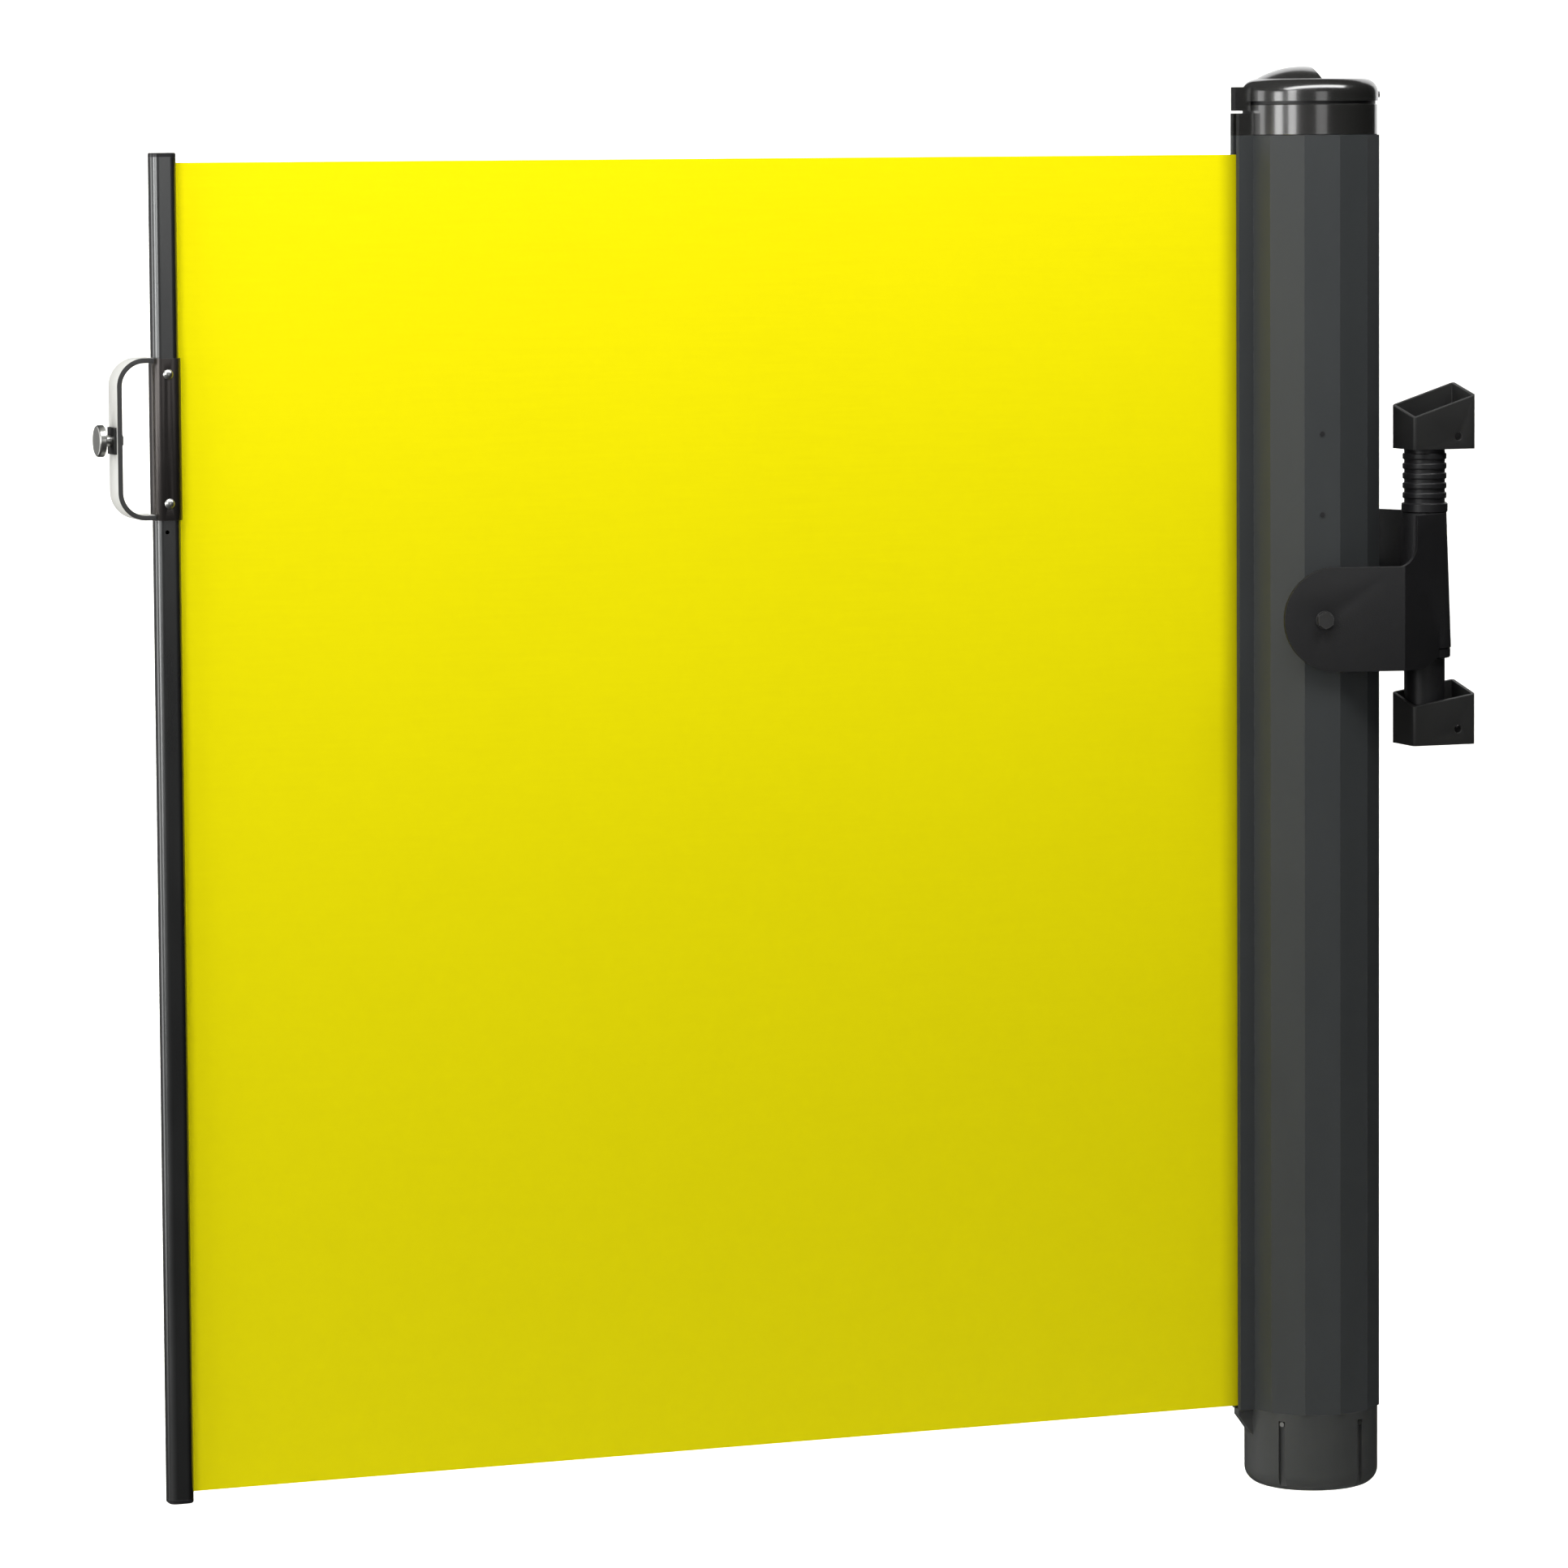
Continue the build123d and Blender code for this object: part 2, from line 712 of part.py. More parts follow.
def handle_strip():
    """The bow of flat bar that the hand pulls."""
    outer_x = strip_x
    inner_x = strip_x + strip_reach
    width = inner_x - outer_x
    middle_z = (handle_low + handle_high) / 2
    tall = handle_high - handle_low
    outline = RectangleRounded(2 * width, tall, strip_round)
    inside = (2 * (width - strip_thick), tall - 2 * strip_thick)
    outline -= RectangleRounded(*inside, strip_round - strip_thick)
    bow = extrude(Plane.XZ * outline, strip_width)
    bow = Pos(inner_x, strip_width / 2, middle_z) * bow
    keep = block((outer_x - 1, inner_x), (-strip_width, strip_width), (handle_low - 1, handle_high + 1))
    bow = Pos(0, cassette_y, 0) * (bow & keep)
    hole = Pos(outer_x, cassette_y, knob_z) * Rot(0, 90, 0) * Cylinder(knob_shank, 4 * strip_thick)
    return bow - hole


def handle_screws():
    """Dome-headed screws through the sleeve into the bar."""
    screws = []
    front = cassette_y - bar_depth / 2 - grip_wall
    for z in grip_screws:
        dome = Sphere(dome_radius) & Pos(0, 0, dome_height + 5) * Box(30, 30, 10)
        dome = Pos(0, 0, -dome_height) * dome + Pos(0, 0, -3) * Cylinder(screw_hole, 6)
        screws.append(Pos(bar_x, front, z) * Rot(90, 0, 0) * dome)
    return pack_parts(screws)


def knob_plate():
    """The dark plate under the latch knob, on the bow's outer face."""
    half = knob_plate_half
    plate = block((strip_x - knob_plate_thick, strip_x), (-half, half), (knob_z - half, knob_z + half))
    plate = Pos(0, cassette_y, 0) * plate
    hole = Pos(strip_x, cassette_y, knob_z) * Rot(0, 90, 0) * Cylinder(knob_shank, 4 * knob_plate_thick)
    return plate - hole


def latch_knob():
    """The mushroom stud that hooks into a catch on the far wall."""
    neck_radius, neck = knob_neck
    head_radius, head = knob_head
    turn = Rot(0, -90, 0)
    body = turn * Pos(0, 0, neck / 2) * Cylinder(neck_radius, neck)
    cap = Cylinder(head_radius, head)
    cap = fillet(cap.edges().filter_by(GeomType.CIRCLE).sort_by(Axis.Z)[-1], 2.5)
    cap = fillet(cap.edges().filter_by(GeomType.CIRCLE).sort_by(Axis.Z)[0], 1.5)
    body += turn * Pos(0, 0, neck + head / 2) * cap
    shank = knob_plate_thick + strip_thick + 6
    body += turn * Pos(0, 0, -shank / 2) * Cylinder(knob_shank, shank)
    return Pos(strip_x - knob_plate_thick, cassette_y, knob_z) * body


def knob_nut():
    """The nut that clamps knob and plate to the bow."""
    at = Pos(strip_x + strip_thick, cassette_y, knob_z) * Rot(0, 90, 0)
    return at * hex_head(13, 5) - at * Cylinder(knob_shank, 20)


parts = {
    "upper_wall_box": wall_box(upper_floor, upper_lip, upper_lock_z),
    "lower_wall_box": wall_box(lower_floor, lower_lip, lower_lock_z),
    "pivot_rod": pivot_rod(),
    "pivot_washer": pivot_washer(),
    "pivot_nut": pivot_nut(),
    "ribbed_sleeve": ribbed_sleeve(),
    "plain_sleeve": plain_sleeve(),
    "upper_thrust_ring": thrust_ring(ring_radius, hub_top + rest_gap, hub_top + ring_thick + rest_gap),
    "lower_thrust_ring": thrust_ring(low_ring_radius, low_ring_foot, low_ring_foot + ring_thick),
    "swivel_yoke": swivel_yoke(),
    "hub_bushes": hub_bushes(),
    "housing_profile": housing_profile(),
    "slot_glides": slot_glides(),
    "top_collar": top_collar(),
    "lid_gasket": lid_gasket(),
    "top_lid": top_lid(),
    "lid_screws": lid_screws(),
    "bottom_cap": bottom_cap(),
    "cap_screws": cap_screws(),
    "facet_rivets": facet_rivets(),
    "backing_plates": backing_plates(),
    "tilt_spacers": tilt_spacers(),
    "ear_bolts": ear_bolts(),
    "ear_washers": ear_washers(),
    "spring_shaft": spring_shaft(),
    "shaft_bushes": shaft_bushes(),
    "shaft_lock": shaft_lock(),
    "spring_anchor": spring_anchor(),
    "curtain_lead": curtain_lead(),
    "roller_tube": roller_tube(),
    "curtain_roll": curtain_roll(),
    "roller_plugs": roller_plugs(),
    "roller_bearings": roller_bearings(),
    "spring_hub": spring_hub(),
    "torsion_spring": torsion_spring(),
    "pull_bar": pull_bar(),
    "bar_end_caps": bar_end_caps(),
    "keder_rod": keder_rod(),
    "curtain": curtain(),
    "handle_sleeve": handle_sleeve(),
    "handle_strip": handle_strip(),
    "handle_screws": handle_screws(),
    "knob_plate": knob_plate(),
    "latch_knob": latch_knob(),
    "knob_nut": knob_nut(),
}

os.makedirs("parts", exist_ok=True)
for name, shape in parts.items():
    export_step(shape, f"parts/{name}.step")
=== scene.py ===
"""Looks of the retractable welding curtain screen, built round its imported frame. Metres, +Z up."""

import math

import bmesh
import bpy
from mathutils import Matrix, Vector


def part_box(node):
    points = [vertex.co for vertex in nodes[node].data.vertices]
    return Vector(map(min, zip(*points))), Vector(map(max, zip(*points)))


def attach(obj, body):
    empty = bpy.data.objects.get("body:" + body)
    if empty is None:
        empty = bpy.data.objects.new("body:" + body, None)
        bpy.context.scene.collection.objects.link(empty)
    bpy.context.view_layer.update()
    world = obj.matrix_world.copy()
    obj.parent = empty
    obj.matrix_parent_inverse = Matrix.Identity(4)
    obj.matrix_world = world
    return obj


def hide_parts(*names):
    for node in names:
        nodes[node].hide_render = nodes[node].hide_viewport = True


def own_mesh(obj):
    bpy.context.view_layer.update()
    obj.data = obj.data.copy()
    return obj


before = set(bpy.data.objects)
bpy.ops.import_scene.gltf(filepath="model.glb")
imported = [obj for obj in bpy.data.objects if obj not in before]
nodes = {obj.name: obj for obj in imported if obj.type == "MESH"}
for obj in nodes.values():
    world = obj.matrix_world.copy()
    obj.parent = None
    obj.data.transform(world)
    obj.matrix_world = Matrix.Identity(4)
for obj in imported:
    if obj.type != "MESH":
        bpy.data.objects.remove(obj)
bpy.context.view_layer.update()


# Wall boxes. Two open boxes of folded and welded 4 mm steel, sprayed satin black.
# Four screws through their right walls hold the whole screen.


def node_group(name, inputs, outputs):
    """An empty shader group with its named number sockets, and its input and output nodes."""
    group = bpy.data.node_groups.new(name, "ShaderNodeTree")
    for label, value in inputs.items():
        socket = group.interface.new_socket(label, in_out="INPUT", socket_type="NodeSocketFloat")
        socket.default_value = value
    for label in outputs:
        group.interface.new_socket(label, in_out="OUTPUT", socket_type="NodeSocketFloat")
    return group, group.nodes.new("NodeGroupInput"), group.nodes.new("NodeGroupOutput")


def math_node(tree, operation, first, second=None, clamp=False):
    """A math node fed by two sockets or numbers, and its result."""
    node = tree.nodes.new("ShaderNodeMath")
    node.operation = operation
    node.use_clamp = clamp
    for socket, value in zip(node.inputs, (first, second)):
        if value is None:
            continue
        if isinstance(value, (int, float)):
            socket.default_value = value
        else:
            tree.links.new(value, socket)
    return node.outputs[0]


def noise_node(tree, vector, scale, detail=4.0, roughness=0.55):
    """A noise texture over the piece, and its value."""
    node = tree.nodes.new("ShaderNodeTexNoise")
    node.inputs["Detail"].default_value = detail
    node.inputs["Roughness"].default_value = roughness
    tree.links.new(vector, node.inputs["Vector"])
    if isinstance(scale, (int, float)):
        node.inputs["Scale"].default_value = scale
    else:
        tree.links.new(scale, node.inputs["Scale"])
    return node.outputs[0]


slow_share = 60.0


def build_grain_group():
    """Fine texture of a coat or casting: a small height, and a slow change of tone."""
    sockets = {"Scale": 900.0, "Draw": 1.0}
    group, given, made = node_group("surface_grain", sockets, ("Height", "Tone"))
    place = group.nodes.new("ShaderNodeTexCoord").outputs["Object"]
    stretch = group.nodes.new("ShaderNodeCombineXYZ")
    stretch.inputs["X"].default_value = 1.0
    stretch.inputs["Y"].default_value = 1.0
    group.links.new(given.outputs["Draw"], stretch.inputs["Z"])
    drawn = group.nodes.new("ShaderNodeVectorMath")
    drawn.operation = "MULTIPLY"
    group.links.new(place, drawn.inputs[0])
    group.links.new(stretch.outputs[0], drawn.inputs[1])
    fine = noise_node(group, drawn.outputs[0], given.outputs["Scale"], 3.0)
    slow_scale = math_node(group, "DIVIDE", given.outputs["Scale"], slow_share)
    slow = noise_node(group, drawn.outputs[0], slow_scale, 3.0)
    group.links.new(fine, made.inputs["Height"])
    group.links.new(slow, made.inputs["Tone"])
    return group


edge_gain = 7.0
patch_scale = 60.0
patch_start = 0.42
patch_gain = 6.0


def build_wear_group():
    """Where a coat is worn thin: along outside edges, broken up by noise."""
    group, given, made = node_group("edge_wear", {"Radius": 0.0015, "Amount": 1.0}, ("Mask",))
    rounded = group.nodes.new("ShaderNodeBevel")
    rounded.samples = 4
    group.links.new(given.outputs["Radius"], rounded.inputs["Radius"])
    face = group.nodes.new("ShaderNodeNewGeometry")
    turn = group.nodes.new("ShaderNodeVectorMath")
    turn.operation = "DOT_PRODUCT"
    group.links.new(rounded.outputs[0], turn.inputs[0])
    group.links.new(face.outputs["Normal"], turn.inputs[1])
    edge = math_node(group, "SUBTRACT", 1.0, turn.outputs["Value"])
    edge = math_node(group, "MULTIPLY", edge, edge_gain, clamp=True)
    place = group.nodes.new("ShaderNodeTexCoord").outputs["Object"]
    patchy = noise_node(group, place, patch_scale, 6.0, 0.7)
    patchy = math_node(group, "SUBTRACT", patchy, patch_start)
    patchy = math_node(group, "MULTIPLY", patchy, patch_gain, clamp=True)
    second_tone_share = math_node(group, "MULTIPLY", edge, patchy)
    second_tone_share = math_node(group, "MULTIPLY", second_tone_share, given.outputs["Amount"], clamp=True)
    group.links.new(second_tone_share, made.inputs["Mask"])
    return group


grain_group = build_grain_group()
wear_group = build_wear_group()


def place_group(tree, group, **values):
    """Puts a shader group in a material with its own values."""
    node = tree.nodes.new("ShaderNodeGroup")
    node.node_tree = group
    for label, value in values.items():
        node.inputs[label].default_value = value
    return node


def mix_colours(tree, share, first, second):
    """Two colours mixed by a share."""
    mix = tree.nodes.new("ShaderNodeMix")
    mix.data_type = "RGBA"
    tree.links.new(share, mix.inputs[0])
    for socket, colour in ((mix.inputs[6], first), (mix.inputs[7], second)):
        if isinstance(colour, tuple):
            socket.default_value = (*colour, 1.0)
        else:
            tree.links.new(colour, socket)
    return mix.outputs[2]


def span(tree, value, low, high, start=0.0, end=1.0, smooth=False):
    """A value between start and end spread from low to high."""
    node = tree.nodes.new("ShaderNodeMapRange")
    if smooth:
        node.interpolation_type = "SMOOTHSTEP"
    tree.links.new(value, node.inputs["Value"])
    node.inputs["From Min"].default_value = start
    node.inputs["From Max"].default_value = end
    node.inputs["To Min"].default_value = low
    node.inputs["To Max"].default_value = high
    return node.outputs[0]


clear_rough = 0.12


def coat(
    name, colour, shade, rough, grain, depth, worn=(0.3, 0.3, 0.3), wear=0.0, draw=1.0,
    metal=0.0, clear=0.0, shine=0.5,
):
    """A painted, moulded or plated finish: two close tones, fine grain, and wear along edges."""
    material = bpy.data.materials.new(name)
    material.use_nodes = True
    tree = material.node_tree
    shader = tree.nodes["Principled BSDF"]
    texture = place_group(tree, grain_group, Scale=grain, Draw=draw)
    base = mix_colours(tree, texture.outputs["Tone"], colour, shade)
    gloss = span(tree, texture.outputs["Tone"], rough[0], rough[1])
    if wear:
        second_tone_share = place_group(tree, wear_group, Amount=wear).outputs["Mask"]
        base = mix_colours(tree, second_tone_share, base, worn)
    tree.links.new(base, shader.inputs["Base Color"])
    tree.links.new(gloss, shader.inputs["Roughness"])
    shader.inputs["Metallic"].default_value = metal
    shader.inputs["Specular IOR Level"].default_value = shine
    shader.inputs["Coat Weight"].default_value = clear
    shader.inputs["Coat Roughness"].default_value = clear_rough
    bump = tree.nodes.new("ShaderNodeBump")
    bump.inputs["Strength"].default_value = 1.0
    bump.inputs["Distance"].default_value = depth
    tree.links.new(texture.outputs["Height"], bump.inputs["Height"])
    tree.links.new(bump.outputs[0], shader.inputs["Normal"])
    return material


def finish_node(name, material):
    """Gives a frame node its finish."""
    mesh = nodes[name].data
    mesh.materials.clear()
    mesh.materials.append(material)


weld_gap = 1e-6
flat_turn = math.radians(0.4)
edge_turn = math.radians(38)
sharp_turn = math.radians(32)


def eased(name, material, body, width, segments=3):
    """A frame node's shape with its sharp edges rounded off, as casting or folding leaves them."""
    mesh = nodes[name].data.copy()
    piece = bpy.data.objects.new(name + "_piece", mesh)
    bpy.context.scene.collection.objects.link(piece)
    form = bmesh.new()
    form.from_mesh(mesh)
    bmesh.ops.remove_doubles(form, verts=form.verts, dist=weld_gap)
    bmesh.ops.dissolve_limit(form, angle_limit=flat_turn, verts=form.verts, edges=form.edges)
    form.to_mesh(mesh)
    form.free()
    rounding = piece.modifiers.new("rounding", "BEVEL")
    rounding.width = width
    rounding.segments = segments
    rounding.limit_method = "ANGLE"
    rounding.angle_limit = edge_turn
    rounding.use_clamp_overlap = True
    rounding.miter_outer = "MITER_ARC"
    depsgraph = bpy.context.evaluated_depsgraph_get()
    rounded = bpy.data.meshes.new_from_object(piece.evaluated_get(depsgraph))
    piece.modifiers.clear()
    piece.data = rounded
    rounded.shade_smooth()
    rounded.set_sharp_from_angle(angle=sharp_turn)
    rounded.materials.clear()
    rounded.materials.append(material)
    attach(piece, body)
    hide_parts(name)
    return piece


bracket_black = coat(
    "bracket_black", (0.017, 0.017, 0.017), (0.025, 0.025, 0.0245), (0.36, 0.5), 1400.0, 0.00006,
    worn=(0.16, 0.16, 0.155), wear=0.35, shine=0.3,
)
for name in ("upper_wall_box", "lower_wall_box"):
    eased(name, bracket_black, "wall_brackets", 0.0008)


# Pivot. A long bright rod ties the boxes together, with a nut in the upper one.
# A ribbed sleeve, a plain sleeve and two rings of black plastic keep the hub in its place.

zinc = coat(
    "zinc", (0.62, 0.62, 0.58), (0.42, 0.43, 0.42), (0.22, 0.42), 500.0, 0.00003,
    worn=(0.75, 0.75, 0.72), wear=0.5, metal=1.0,
)
moulded_black = coat(
    "moulded_black", (0.008, 0.008, 0.009), (0.013, 0.013, 0.014), (0.34, 0.46),
    2200.0, 0.00004,
    worn=(0.10, 0.10, 0.10), wear=0.4,
)
steel = coat(
    "steel", (0.45, 0.45, 0.44), (0.33, 0.33, 0.33), (0.25, 0.4), 700.0, 0.00003, metal=1.0,
)

for name in ("pivot_washer", "pivot_nut"):
    finish_node(name, zinc)
for name in ("pivot_rod", "backing_plates", "spring_shaft", "shaft_lock", "spring_anchor"):
    finish_node(name, steel)
for name in ("ribbed_sleeve", "plain_sleeve", "upper_thrust_ring", "lower_thrust_ring"):
    finish_node(name, moulded_black)


# Swivel yoke. One casting with a hub and two ears, shot-blasted and coated matt black.
# Plastic bushes pressed into the hub run on the rod.

cast_black = coat(
    "cast_black", (0.006, 0.006, 0.007), (0.011, 0.011, 0.012), (0.5, 0.66), 650.0, 0.00022,
    worn=(0.06, 0.06, 0.06), wear=0.2,
)
bush_plastic = coat(
    "bush_plastic", (0.6, 0.58, 0.5), (0.5, 0.48, 0.42), (0.4, 0.5), 900.0, 0.00003,
)
eased("swivel_yoke", cast_black, "yoke", 0.0022, 4)
for name in ("hub_bushes", "roller_bearings", "shaft_bushes"):
    finish_node(name, bush_plastic)


# Cassette housing. A twelve-sided aluminium extrusion, powder coated anthracite, with a slot
# between two lips. Plastic strips line the slot. Rivets hold the plates behind the ear bolts.

anthracite_coat = coat(
    "anthracite_coat", (0.037, 0.040, 0.0415), (0.043, 0.0465, 0.048), (0.44, 0.54),
    1800.0, 0.00005,
    worn=(0.2, 0.2, 0.2), wear=0.25, draw=0.35, shine=0.3,
)
finish_node("housing_profile", anthracite_coat)
moulded_nodes = (
    "slot_glides", "tilt_spacers", "roller_plugs", "spring_hub", "lid_gasket", "keder_rod",
)
for name in moulded_nodes:
    finish_node(name, moulded_black)
finish_node("facet_rivets", cast_black)


# Cassette ends. A glossy moulded collar and lid close the top, and a moulded cup closes
# the bottom. Small screws hold the lid's rim and sit in the cup's grooves.

gloss_black = coat(
    "gloss_black", (0.010, 0.010, 0.009), (0.015, 0.015, 0.014), (0.18, 0.28), 900.0, 0.00003,
    worn=(0.12, 0.12, 0.12), wear=0.3, clear=1.0, shine=1.0,
)
for name in ("top_collar", "top_lid"):
    finish_node(name, gloss_black)
cup_black = coat(
    "cup_black", (0.043, 0.045, 0.044), (0.052, 0.054, 0.053), (0.3, 0.42), 1600.0, 0.00005,
    worn=(0.14, 0.14, 0.14), wear=0.3,
)
finish_node("bottom_cap", cup_black)
black_oxide = coat(
    "black_oxide", (0.05, 0.05, 0.05), (0.09, 0.09, 0.09), (0.28, 0.4), 900.0, 0.00003,
    worn=(0.3, 0.3, 0.3), wear=0.6, metal=0.7,
)
for name in ("lid_screws", "ear_washers", "ear_bolts"):
    finish_node(name, black_oxide)
finish_node("cap_screws", zinc)


# Roller. An aluminium tube on plain bearings turns on the still shaft, driven by a long coil.
# The last turns of curtain stay on it.

aluminium = coat(
    "aluminium", (0.6, 0.6, 0.6), (0.5, 0.5, 0.5), (0.3, 0.4), 600.0, 0.00003, metal=1.0,
)
spring_steel = coat(
    "spring_steel", (0.2, 0.21, 0.23), (0.28, 0.28, 0.3), (0.25, 0.35), 800.0, 0.00003,
    metal=1.0,
)
finish_node("roller_tube", aluminium)
finish_node("torsion_spring", spring_steel)


# Curtain. One sheet of yellow welding PVC, 0.8 mm thick, cut square with no hems.
# The spring holds it taut, so it only shows a faint draw along its width.

curtain_low, curtain_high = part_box("curtain")
sheet_thick = curtain_high.y - curtain_low.y
sheet_width = curtain_high.x - curtain_low.x
sheet_height = curtain_high.z - curtain_low.z
fresh_yellow = (0.93, 0.83, 0.001)
drawn_yellow = (0.87, 0.765, 0.001)
# Painted shade: the colour the sheet darkens to toward its foot, standing in for the light falling
# off down the sheet.
shaded_foot_yellow = (0.73, 0.655, 0.001)
# Painted shade: the colour of a band along the sheet by the slot, where the cassette shades it.
slot_shade_yellow = (0.52, 0.46, 0.002)
foot_shade_height = 0.85
foot_shade_most = 0.85
slot_shade_reach = 0.026
slot_shade_full = 0.004
slot_shade_most = 0.75


def curtain_sheen():
    """Yellow sheet with a fine draw, painted shade darkening it toward its foot, and a band of
    painted shade by the slot.
    """
    material = bpy.data.materials.new("curtain_yellow")
    material.use_nodes = True
    tree = material.node_tree
    shader = tree.nodes["Principled BSDF"]
    place = tree.nodes.new("ShaderNodeTexCoord").outputs["Object"]
    across = tree.nodes.new("ShaderNodeMapping")
    across.inputs["Scale"].default_value = (0.06, 1.0, 1.0)
    tree.links.new(place, across.inputs["Vector"])
    lines = noise_node(tree, across.outputs[0], 220.0, 4.0, 0.6)
    cloud = noise_node(tree, place, 3.0, 2.0)
    tone = math_node(tree, "MULTIPLY", lines, cloud)
    base = mix_colours(tree, tone, fresh_yellow, drawn_yellow)
    split = tree.nodes.new("ShaderNodeSeparateXYZ")
    tree.links.new(place, split.inputs[0])
    # Painted shade: the sheet grows darker toward its foot.
    foot_shade_top = curtain_low.z + foot_shade_height * sheet_height
    foot_shade = span(tree, split.outputs["Z"], foot_shade_most, 0.0, curtain_low.z, foot_shade_top, smooth=True)
    base = mix_colours(tree, foot_shade, base, shaded_foot_yellow)
    # Painted shade: a band darkened along the edge by the slot, standing in for the cassette's
    # shadow.
    slot_shade_start, slot_shade_end = curtain_high.x - slot_shade_reach, curtain_high.x - slot_shade_full
    second_tone_share = span(tree, split.outputs["X"], 0.0, slot_shade_most, slot_shade_start, slot_shade_end, smooth=True)
    base = mix_colours(tree, second_tone_share, base, slot_shade_yellow)
    tree.links.new(base, shader.inputs["Base Color"])
    tree.links.new(span(tree, lines, 0.42, 0.56), shader.inputs["Roughness"])
    shader.inputs["Specular IOR Level"].default_value = 0.06
    bump = tree.nodes.new("ShaderNodeBump")
    bump.inputs["Distance"].default_value = 0.00012
    tree.links.new(lines, bump.inputs["Height"])
    tree.links.new(bump.outputs[0], shader.inputs["Normal"])
    return material


columns, rows = 180, 140
ripple_deep = 0.0007
ripple_fine = 0.0004


def curtain_piece():
    """The sheet as a fine grid with the faintest ripple, given its thickness."""
    form = bmesh.new()
    net = []
    for row in range(rows + 1):
        part = row / rows
        line = []
        for column in range(columns + 1):
            share = column / columns
            x = curtain_low.x + sheet_width * share
            z = curtain_low.z + sheet_height * part
            line.append(form.verts.new((x, 0.0, z)))
        net.append(line)
    for below, above in zip(net, net[1:]):
        for column in range(columns):
            form.faces.new((below[column], below[column + 1], above[column + 1], above[column]))
    middle = (curtain_low.y + curtain_high.y) / 2
    for vertex in form.verts:
        along = (vertex.co.x - curtain_low.x) / sheet_width
        height = (vertex.co.z - curtain_low.z) / sheet_height
        calm = 0.0
        if 0 < along < 1 and 0 < height < 1:
            calm = math.sin(math.pi * along) ** 0.6 * math.sin(math.pi * height) ** 0.4
        ripple = ripple_deep * math.sin(9.0 * height + 1.3 * along)
        ripple += ripple_fine * math.sin(23.0 * height - 2.0 * along)
        vertex.co.y = middle + calm * ripple
    mesh = bpy.data.meshes.new("curtain_sheet")
    form.to_mesh(mesh)
    form.free()
    piece = bpy.data.objects.new("curtain_sheet", mesh)
    bpy.context.scene.collection.objects.link(piece)
    solid = piece.modifiers.new("thickness", "SOLIDIFY")
    solid.thickness = sheet_thick
    solid.offset = 0.0
    depsgraph = bpy.context.evaluated_depsgraph_get()
    made = bpy.data.meshes.new_from_object(piece.evaluated_get(depsgraph))
    piece.modifiers.clear()
    piece.data = made
    made.shade_smooth()
    made.set_sharp_from_angle(angle=math.radians(50))
    return piece


curtain_yellow = curtain_sheen()
curtain_sheet = curtain_piece()
curtain_sheet.data.materials.clear()
curtain_sheet.data.materials.append(curtain_yellow)
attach(curtain_sheet, "pull_bar_set")
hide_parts("curtain")
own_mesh(curtain_sheet)
for name in ("curtain_lead", "curtain_roll"):
    finish_node(name, curtain_yellow)


# Pull bar. A rounded aluminium extrusion, coated dark grey, with black plastic end caps.
# The curtain's bead slides into its channel.

bar_coat = coat(
    "bar_coat", (0.14, 0.143, 0.143), (0.18, 0.183, 0.183), (0.24, 0.34), 1500.0, 0.00003,
    worn=(0.4, 0.4, 0.4), wear=0.25, draw=0.3, metal=1.0,
)
finish_node("pull_bar", bar_coat)
finish_node("bar_end_caps", moulded_black)


# Handle. A steel sleeve folded round the bar carries a bow of flat bar, held by two
# dome-headed screws. A mushroom stud on the bow hooks into a catch on the far wall.

sleeve_brown = coat(
    "sleeve_brown", (0.085, 0.078, 0.075), (0.11, 0.101, 0.097), (0.3, 0.4), 1300.0, 0.00004,
    worn=(0.4, 0.38, 0.36), wear=0.5, metal=1.0,
)
edge_start = 0.35
edge_full = 0.75


def dark_edges(material, colour):
    """Darkens the faces of a piece that look forward or back, here the bow's two edges; the sides
    keep a pale painted reflection.
    """
    tree = material.node_tree
    shader = tree.nodes["Principled BSDF"]
    split = tree.nodes.new("ShaderNodeSeparateXYZ")
    tree.links.new(tree.nodes.new("ShaderNodeTexCoord").outputs["Normal"], split.inputs[0])
    forward = math_node(tree, "ABSOLUTE", split.outputs["Y"])
    share = span(tree, forward, 0.0, 1.0, edge_start, edge_full)
    base = shader.inputs["Base Color"].links[0].from_socket
    tree.links.new(mix_colours(tree, share, base, colour), shader.inputs["Base Color"])


# Painted reflection: the bow's pale grey sides stand in for the bright left surroundings mirrored in
# them; only the faces that look forward or back stay dark.
bow_painted_reflection = coat(
    "bow_painted_reflection", (0.72, 0.72, 0.68), (0.62, 0.62, 0.59), (0.3, 0.42), 700.0, 0.00004,
    worn=(0.8, 0.8, 0.77), wear=0.4,
)
dark_edges(bow_painted_reflection, (0.045, 0.045, 0.045))
eased("handle_sleeve", sleeve_brown, "pull_bar_set", 0.0006)
eased("handle_strip", bow_painted_reflection, "pull_bar_set", 0.0012)
finish_node("knob_plate", bracket_black)
for name in ("handle_screws", "latch_knob", "knob_nut"):
    finish_node(name, zinc)


# Studio. A pale floor that sweeps up behind and is clear from its back, soft lights in front,
# above and at the left, and surroundings that fade from bright left to dark right.

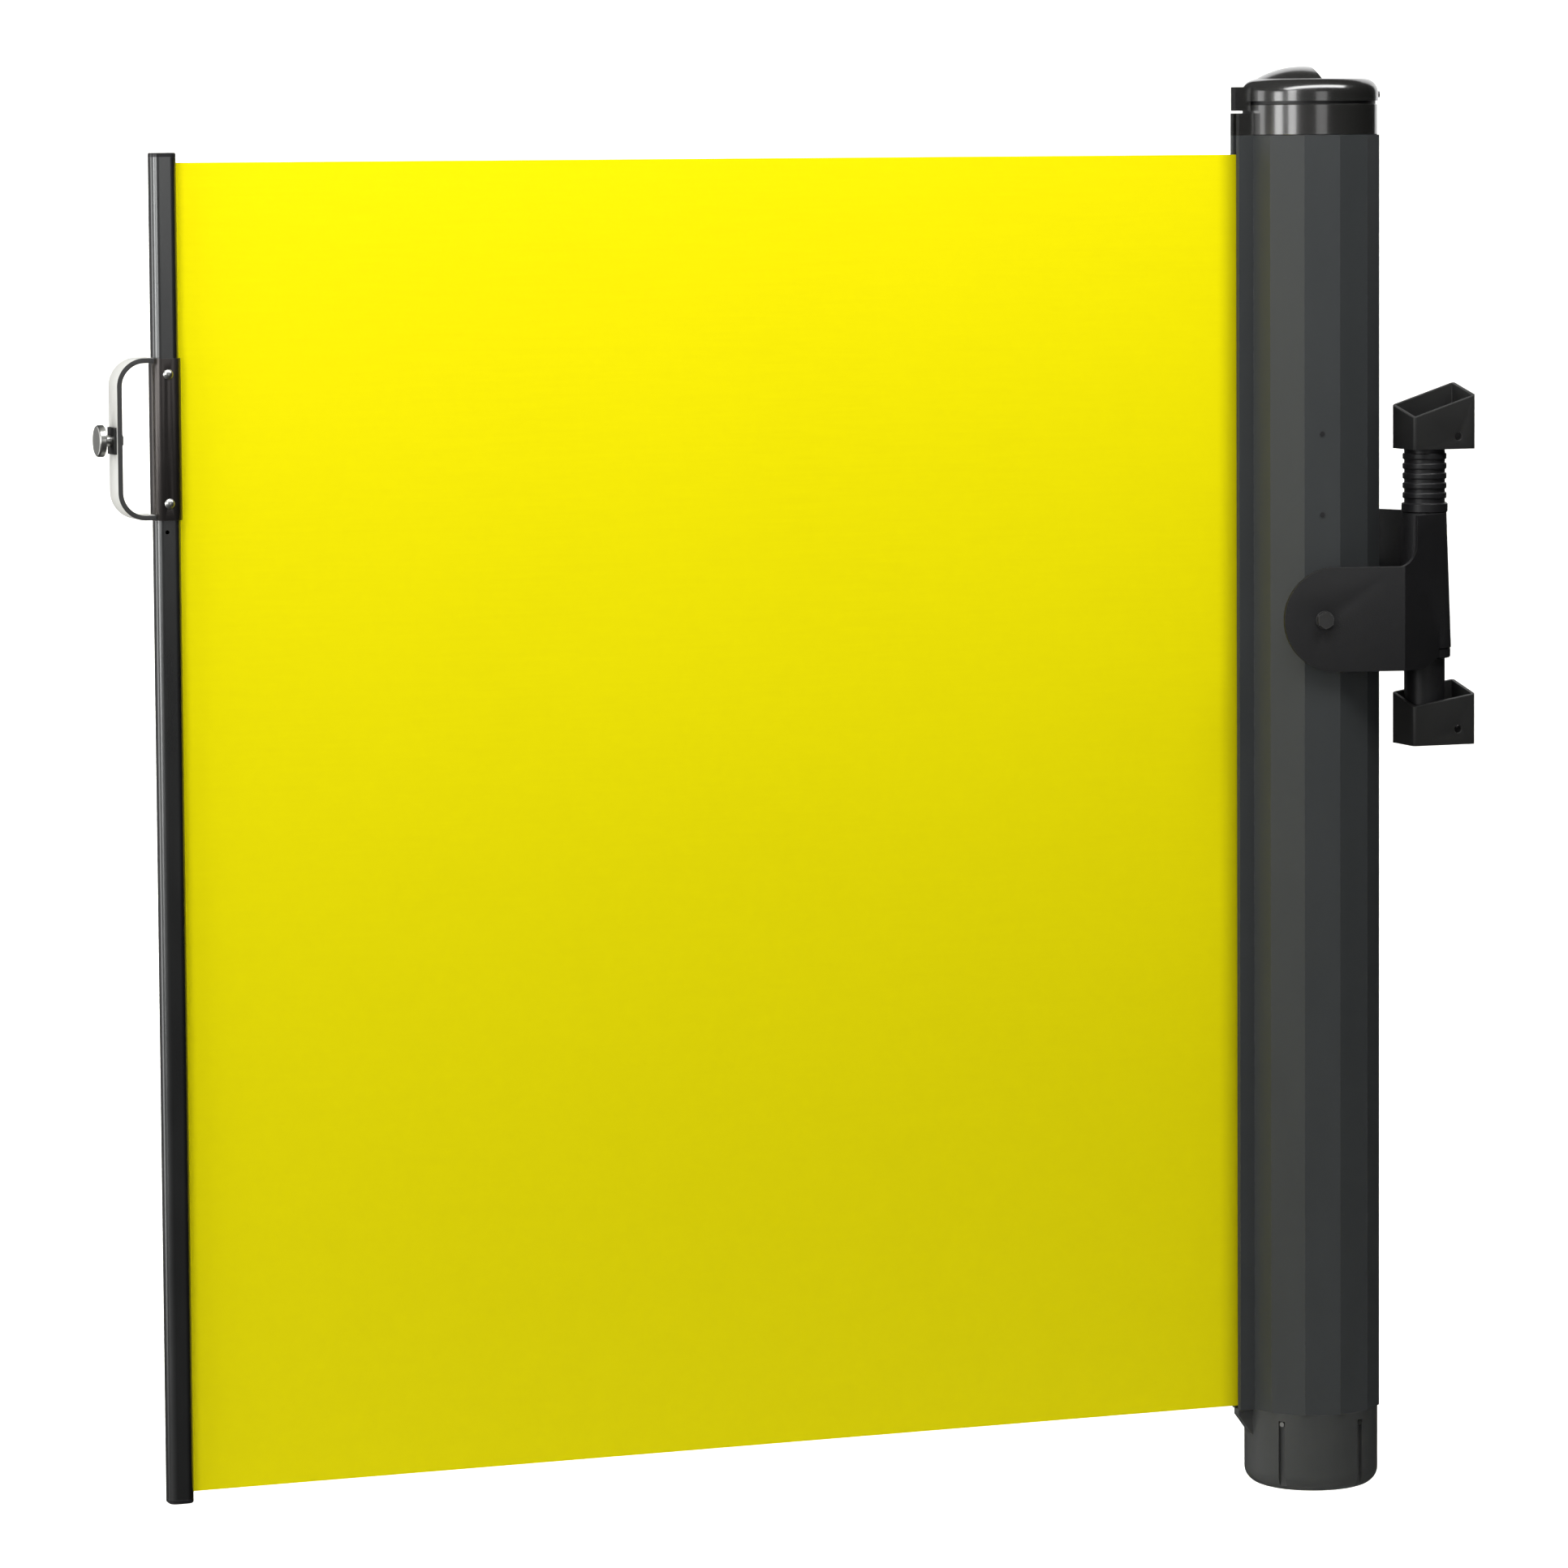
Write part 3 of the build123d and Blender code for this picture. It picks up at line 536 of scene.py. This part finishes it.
floor_z = -1.5
floor_front = -2.5
floor_sides = (-8.0, 2.3)
sweep_radius = 1.6
sweep_steps = 16
back_y = 3.0
back_top = 6.0
floor_material = bpy.data.materials.new("pale_floor")
floor_material.use_nodes = True
floor_tree = floor_material.node_tree
floor_shader = floor_tree.nodes["Principled BSDF"]
floor_shader.inputs["Base Color"].default_value = (0.93, 0.93, 0.93, 1.0)
floor_shader.inputs["Roughness"].default_value = 0.9
clear_back = floor_tree.nodes.new("ShaderNodeMixShader")
floor_side = floor_tree.nodes.new("ShaderNodeNewGeometry")
floor_tree.links.new(floor_side.outputs["Backfacing"], clear_back.inputs[0])
floor_tree.links.new(floor_shader.outputs[0], clear_back.inputs[1])
see_through = floor_tree.nodes.new("ShaderNodeBsdfTransparent")
floor_tree.links.new(see_through.outputs[0], clear_back.inputs[2])
floor_output = floor_tree.nodes["Material Output"]
floor_tree.links.new(clear_back.outputs[0], floor_output.inputs["Surface"])


def studio_sweep():
    """Floor, curve and backdrop in one sheet."""
    outline = [(floor_front, floor_z), (back_y - sweep_radius, floor_z)]
    for step in range(1, sweep_steps + 1):
        angle = math.radians(90 * step / sweep_steps)
        y = back_y - sweep_radius + sweep_radius * math.sin(angle)
        outline.append((y, floor_z + sweep_radius * (1 - math.cos(angle))))
    outline.append((back_y, back_top))
    form = bmesh.new()
    left, right = [[form.verts.new((x, y, z)) for y, z in outline] for x in floor_sides]
    for step in range(len(outline) - 1):
        form.faces.new((left[step], right[step], right[step + 1], left[step + 1]))
    mesh = bpy.data.meshes.new("studio_sweep")
    form.to_mesh(mesh)
    form.free()
    mesh.shade_smooth()
    mesh.materials.append(floor_material)
    sweep = bpy.data.objects.new("studio_sweep", mesh)
    sweep.visible_glossy = False
    bpy.context.scene.collection.objects.link(sweep)
    return sweep


studio_sweep()


def soft_light(name, size, power, place, aim):
    """A rectangular soft light that points at a place."""
    light = bpy.data.lights.new(name, "AREA")
    light.shape = "RECTANGLE"
    light.size, light.size_y = size
    light.energy = power
    lamp = bpy.data.objects.new(name, light)
    lamp.location = place
    lamp.rotation_euler = (Vector(aim) - Vector(place)).to_track_quat("-Z", "Y").to_euler()
    bpy.context.scene.collection.objects.link(lamp)
    return lamp


soft_light("front_light", (4.5, 0.8), 92.0, (-1.0, -1.25, 2.25), (-0.95, 0.0, 0.3))
soft_light("low_light", (1.6, 1.1), 8.0, (-0.7, -4.8, 0.95), (-0.9, 0.0, 0.3))
soft_light("left_light", (1.3, 2.4), 50.0, (-4.6, -3.0, 1.3), (-0.4, 0.0, 0.3))
soft_light("low_left_light", (1.5, 2.4), 60.0, (-6.0, -1.0, 0.5), (-0.4, 0.0, 0.0))
soft_light("side_light", (2.2, 3.2), 42.0, (-4.2, 2.5, 0.1), (-0.2, 0.0, -0.1))
soft_light("rear_light", (3.0, 2.4), 22.0, (1.6, 2.6, 1.6), (-0.6, 0.1, 0.0))
back_light = soft_light("back_light", (5.0, 1.5), 190.0, (-0.6, 0.8, 3.6), (-0.4, 3.0, 0.9))
back_light.data.spread = math.radians(120)
back_light.visible_glossy = False


bright_side = (-0.9, -0.3, 0.3)
world_dark = 0.01
world_bright = 0.18
world_seen = 0.85


def surroundings():
    """A world that lights from the left and front, and that looks pale all round."""
    world = bpy.data.worlds.new("studio")
    world.use_nodes = True
    tree = world.node_tree
    toward = tree.nodes.new("ShaderNodeVectorMath")
    toward.operation = "DOT_PRODUCT"
    toward.inputs[1].default_value = bright_side
    heading = tree.nodes.new("ShaderNodeTexCoord").outputs["Generated"]
    tree.links.new(heading, toward.inputs[0])
    share = math_node(tree, "MULTIPLY_ADD", toward.outputs["Value"], 0.5)
    share.node.inputs[2].default_value = 0.5
    share.node.use_clamp = True
    fade = math_node(tree, "POWER", share, 1.5)
    looked_at = tree.nodes.new("ShaderNodeLightPath").outputs["Is Camera Ray"]
    seen = math_node(tree, "MULTIPLY", looked_at, world_seen)
    strength = math_node(tree, "MAXIMUM", span(tree, fade, world_dark, world_bright), seen)
    tree.links.new(strength, tree.nodes["Background"].inputs["Strength"])
    tree.nodes["Background"].inputs["Color"].default_value = (1.0, 1.0, 1.0, 1.0)
    bpy.context.scene.world = world


surroundings()
bpy.context.scene.view_settings.view_transform = "Standard"


# Camera. A long lens, a little left of square on and a little above, with a slight roll.

camera_side = math.radians(-20.78)
camera_dip = math.radians(4.27)
camera_roll = math.radians(-0.381)
camera_distance = 8.046
camera_lens = 150.04
camera_sensor = 36.0
camera_shift = -0.1
camera_aim = Vector((-0.933, 0.0, -0.034))
camera = bpy.data.objects.new("camera", bpy.data.cameras.new("camera"))
bpy.context.scene.collection.objects.link(camera)
camera.data.sensor_width = camera_sensor
camera.data.lens = camera_lens
camera.data.shift_y = camera_shift
camera.data.clip_end = 100.0
turn = Matrix.Rotation(camera_side, 4, "Z") @ Matrix.Rotation(math.pi / 2 - camera_dip, 4, "X")
turn = turn @ Matrix.Rotation(camera_roll, 4, "Z")
sight = turn.to_3x3() @ Vector((0.0, 0.0, -1.0))
camera.matrix_world = Matrix.Translation(camera_aim - camera_distance * sight) @ turn
bpy.context.scene.camera = camera
